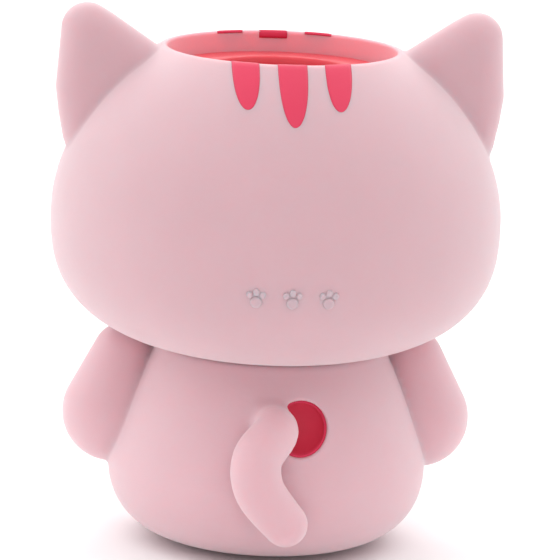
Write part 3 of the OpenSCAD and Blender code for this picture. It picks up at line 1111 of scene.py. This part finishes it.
def build_cup():
    """The lift-out cup: a tapered wall under a broad rounded flange."""
    flange = CUP_HIGH.x
    top = CUP_HIGH.z
    under = top - FLANGE_THICK
    bottom = CUP_LOW.z
    outline = [
        (AXIS_GAP, bottom + 0.6 * MM),
        (CUP_R - CUP_TAPER - 3.6 * MM, bottom + 0.6 * MM),
        (CUP_R - CUP_TAPER - 4 * MM, bottom),
        (CUP_R - CUP_TAPER - 2 * MM, bottom),
        (CUP_R - CUP_TAPER, bottom + 2 * MM),
        (CUP_R - 0.02 * MM, under),
        (flange, under),
        (flange, top),
        (CUP_R - CUP_WALL, top),
        (CUP_R - CUP_WALL - CUP_TAPER, bottom + CUP_WALL),
        (AXIS_GAP, bottom + CUP_WALL),
    ]
    points, faces = lathe(rounded(outline, 0.6 * MM, 5), 96)
    piece = new_mesh("lift_out_cup", points, faces, cup_plastic(), "cup")
    mend_normals(piece)
    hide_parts("inner_cup")


def sleeve_inner(z):
    """Radius of the sleeve's inner wall at height z."""
    return SLEEVE_R - SLEEVE_WALL - SLEEVE_TAPER * (SLEEVE_HIGH.z - z) / (SLEEVE_HIGH.z - SLEEVE_LOW.z)


def build_sleeve():
    """The soft sleeve: a thin tapered wall under a broad flange with a rounded mouth."""
    flange = SLEEVE_HIGH.x
    top = SLEEVE_HIGH.z
    under = top - FLANGE_THICK
    bottom = SLEEVE_LOW.z
    outline = [
        (AXIS_GAP, bottom),
        (SLEEVE_R - SLEEVE_TAPER, bottom),
        (SLEEVE_R, under),
        (flange, under),
        (flange, top),
        (sleeve_inner(top) + 0.8 * MM, top),
        (sleeve_inner(top), top - 1.6 * MM),
        (sleeve_inner(bottom), bottom + SLEEVE_WALL),
        (AXIS_GAP, bottom + SLEEVE_WALL),
    ]
    points, faces = lathe(rounded(outline, 0.7 * MM, 6), 96)
    piece = new_mesh("soft_sleeve", points, faces, sleeve_silicone(), "sleeve")
    mend_normals(piece)
    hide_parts("brush_sleeve")


def bristle(length, chance):
    """One soft bristle along +Z: a tapered stem on a flared root, with a round tip, bent a little."""
    shape_of = [(1.25, -0.4), (0.95, 0.1), (0.8, 0.7), (0.7, 1.8), (0.6, length / MM - 0.8),
                (0.52, length / MM - 0.3), (0.3, length / MM - 0.05), (0.02, length / MM)]
    profile = [(r * MM, z * MM) for r, z in shape_of]
    points, faces = lathe(profile, 12)
    points = np.array(points)
    bend = np.array([chance.uniform(-1, 1), chance.uniform(-1, 1)]) * 0.25 * MM
    share = np.clip(points[:, 2] / length, 0, 1) ** 2
    points[:, 0] += bend[0] * share
    points[:, 1] += bend[1] * share
    return points, faces


def build_bristles():
    chance = random.Random(7)
    length = 4.2 * MM
    rings, around = 8, 12
    first = 17 * MM
    step = (SLEEVE_HIGH.z - 14 * MM - first) / (rings - 1)
    parts = []
    for row in range(rings):
        z = first + row * step
        for k in range(around):
            points, faces = bristle(length, chance)
            turn = 2 * math.pi * (k + (row % 2) / 2) / around
            place = (
                Matrix.Rotation(turn, 3, "Z")
                @ Matrix.Rotation(-math.pi / 2, 3, "Y")
            )
            moved = points @ np.array(place).T
            out = Matrix.Rotation(turn, 3, "Z") @ Vector((sleeve_inner(z), 0, z))
            parts.append((moved + np.array(out), faces))
    points, faces = join(parts)
    piece = new_mesh("side_bristles", points, faces, sleeve_silicone(), "sleeve")
    mend_normals(piece)
    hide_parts("wall_bristles")
    parts = []
    for ring, count in ((0, 1), (4.6, 6), (9, 11)):
        for k in range(count):
            points, faces = bristle(length, chance)
            a = 2 * math.pi * k / count
            shift = np.array([ring * MM * math.cos(a), ring * MM * math.sin(a), SLEEVE_LOW.z + SLEEVE_WALL])
            parts.append((points + shift, faces))
    points, faces = join(parts)
    piece = new_mesh("bottom_bristles", points, faces, sleeve_silicone(), "sleeve")
    mend_normals(piece)
    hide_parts("floor_bristles")


# ---------------------------------------------------------------- stage


def stage_material(name, color, roughness):
    material = new_material(name, color, roughness)
    vary_roughness(material, 3, roughness - 0.05, roughness + 0.05)
    return material


def area_light(name, place, target, size, power, color=(1, 1, 1)):
    data = bpy.data.lights.new(name, "AREA")
    data.shape = "RECTANGLE"
    data.size, data.size_y = size
    data.energy = power
    data.color = color
    light = bpy.data.objects.new(name, data)
    light.location = place
    light.rotation_euler = (Vector(target) - Vector(place)).to_track_quat("-Z", "Y").to_euler()
    bpy.context.scene.collection.objects.link(light)


def build_stage():
    scene = bpy.context.scene
    settings = scene.kitten_cup.stage
    mesh = bpy.data.meshes.new("studio_floor")
    mesh.from_pydata([(-6, -6, 0), (6, -6, 0), (6, 6, 0), (-6, 6, 0)], [], [(0, 1, 2, 3)])
    floor = bpy.data.objects.new("studio_floor", mesh)
    floor.location.z = PAD_LOW.z - 0.02 * MM
    white = stage_material("floor_white", (0.95, 0.95, 0.95), 0.9)
    mesh.materials.append(white)
    scene.collection.objects.link(floor)

    world = bpy.data.worlds.new("studio")
    world.use_nodes = True
    world.node_tree.nodes["Background"].inputs["Color"].default_value = (1, 1, 1, 1)
    world.node_tree.nodes["Background"].inputs["Strength"].default_value = 0.42
    scene.world = world
    target = (0, 0, 0.06)
    area_light("overhead", (0, -0.25, 0.85), target, (1.6, 1.2), 7.5)
    area_light("low_fill", (0, -0.8, 0.06), (0, 0, 0.03), (0.9, 0.25), 1.1)
    area_light("backdrop", (0, 3.0, 1.8), (0, 3.2, 0), (5, 4), 160)
    area_light("left_softbox", (-0.7, 0.1, 0.25), target, (0.5, 0.6), 1.5)
    area_light("right_softbox", (0.7, 0.1, 0.25), target, (0.5, 0.6), 0.8)

    camera_data = bpy.data.cameras.new("camera")
    camera = bpy.data.objects.new("camera", camera_data)
    scene.collection.objects.link(camera)
    back = Vector((
        math.sin(settings.azimuth) * math.cos(settings.elevation),
        -math.cos(settings.azimuth) * math.cos(settings.elevation),
        math.sin(settings.elevation),
    ))
    right = Vector((math.cos(settings.azimuth), math.sin(settings.azimuth), 0))
    up = back.cross(right)
    rolled_right = right * math.cos(settings.roll) + up * math.sin(settings.roll)
    rolled_up = up * math.cos(settings.roll) - right * math.sin(settings.roll)
    middle = Vector((0, 0, 0.057))
    camera.matrix_world = Matrix((
        (rolled_right.x, rolled_up.x, back.x, middle.x + back.x * settings.distance),
        (rolled_right.y, rolled_up.y, back.y, middle.y + back.y * settings.distance),
        (rolled_right.z, rolled_up.z, back.z, middle.z + back.z * settings.distance),
        (0, 0, 0, 1),
    ))
    camera_data.sensor_width = 36
    camera_data.lens = 36 * settings.distance / settings.view_width
    camera_data.shift_x = SHIFT_X
    camera_data.shift_y = SHIFT_Y
    camera_data.clip_start = 0.01
    camera_data.clip_end = 50
    scene.camera = camera
    scene.view_settings.view_transform = "Standard"


# ---------------------------------------------------------------- operators and panel


class KITTEN_OT_head(bpy.types.Operator):
    """Make the head's soft skin with its ears"""

    bl_idname = "kitten.head"
    bl_label = "Head and ears"

    def execute(self, context):
        build_head()
        return {"FINISHED"}


class KITTEN_OT_body(bpy.types.Operator):
    """Make the torso's soft skin with its arms and tail"""

    bl_idname = "kitten.body"
    bl_label = "Torso, arms and tail"

    def execute(self, context):
        build_body()
        return {"FINISHED"}


class KITTEN_OT_stripes(bpy.types.Operator):
    """Lay the six stripes over the rim"""

    bl_idname = "kitten.stripes"
    bl_label = "Stripes"

    def execute(self, context):
        for place, wrap in (("left", 0.5 * MM), ("middle", 1.6 * MM), ("right", 0.5 * MM)):
            build_stripe(f"rear_{place}_stripe", -1, wrap)
            build_stripe(f"front_{place}_stripe", 1, wrap)
        return {"FINISHED"}


class KITTEN_OT_details(bpy.types.Operator):
    """Make the face, the ear linings and the raised paw prints"""

    bl_idname = "kitten.details"
    bl_label = "Face and details"

    def execute(self, context):
        build_paw_prints()
        build_face()
        build_ear_linings()
        return {"FINISHED"}


class KITTEN_OT_base(bpy.types.Operator):
    """Make the window's lining and the grip pad"""

    bl_idname = "kitten.base"
    bl_label = "Window and base"

    def execute(self, context):
        build_window_insert()
        build_base_pad()
        return {"FINISHED"}


class KITTEN_OT_insides(bpy.types.Operator):
    """Make the lift-out cup and the bristled sleeve"""

    bl_idname = "kitten.insides"
    bl_label = "Cup and sleeve"

    def execute(self, context):
        build_cup()
        build_sleeve()
        build_bristles()
        return {"FINISHED"}


class KITTEN_OT_stage(bpy.types.Operator):
    """Set up the floor, the lights and the camera"""

    bl_idname = "kitten.stage"
    bl_label = "Stage"

    def execute(self, context):
        build_stage()
        return {"FINISHED"}


class KITTEN_PT_panel(bpy.types.Panel):
    """Sidebar panel with the steps and the settings"""

    bl_idname = "KITTEN_PT_panel"
    bl_label = "Kitten Cup"
    bl_space_type = "VIEW_3D"
    bl_region_type = "UI"
    bl_category = "Kitten Cup"

    def draw(self, context):
        layout = self.layout
        for operator in OPERATORS:
            layout.operator(operator.bl_idname)
        settings = context.scene.kitten_cup
        for group in (settings.shape, settings.finish, settings.stage):
            box = layout.box()
            for name in group.bl_rna.properties.keys():
                if name not in ("rna_type", "name"):
                    box.prop(group, name)


OPERATORS = (
    KITTEN_OT_stage,
    KITTEN_OT_head,
    KITTEN_OT_body,
    KITTEN_OT_stripes,
    KITTEN_OT_details,
    KITTEN_OT_base,
    KITTEN_OT_insides,
)
CLASSES = (ShapeSettings, FinishSettings, StageSettings, KittenCupSettings, *OPERATORS, KITTEN_PT_panel)


def register():
    for cls in CLASSES:
        bpy.utils.register_class(cls)
    bpy.types.Scene.kitten_cup = PointerProperty(type=KittenCupSettings)


def unregister():
    del bpy.types.Scene.kitten_cup
    for cls in reversed(CLASSES):
        bpy.utils.unregister_class(cls)


def main():
    register()
    bpy.ops.kitten.stage()
    bpy.ops.kitten.head()
    bpy.ops.kitten.body()
    bpy.ops.kitten.stripes()
    bpy.ops.kitten.details()
    bpy.ops.kitten.base()
    bpy.ops.kitten.insides()


if __name__ == "__main__":
    main()
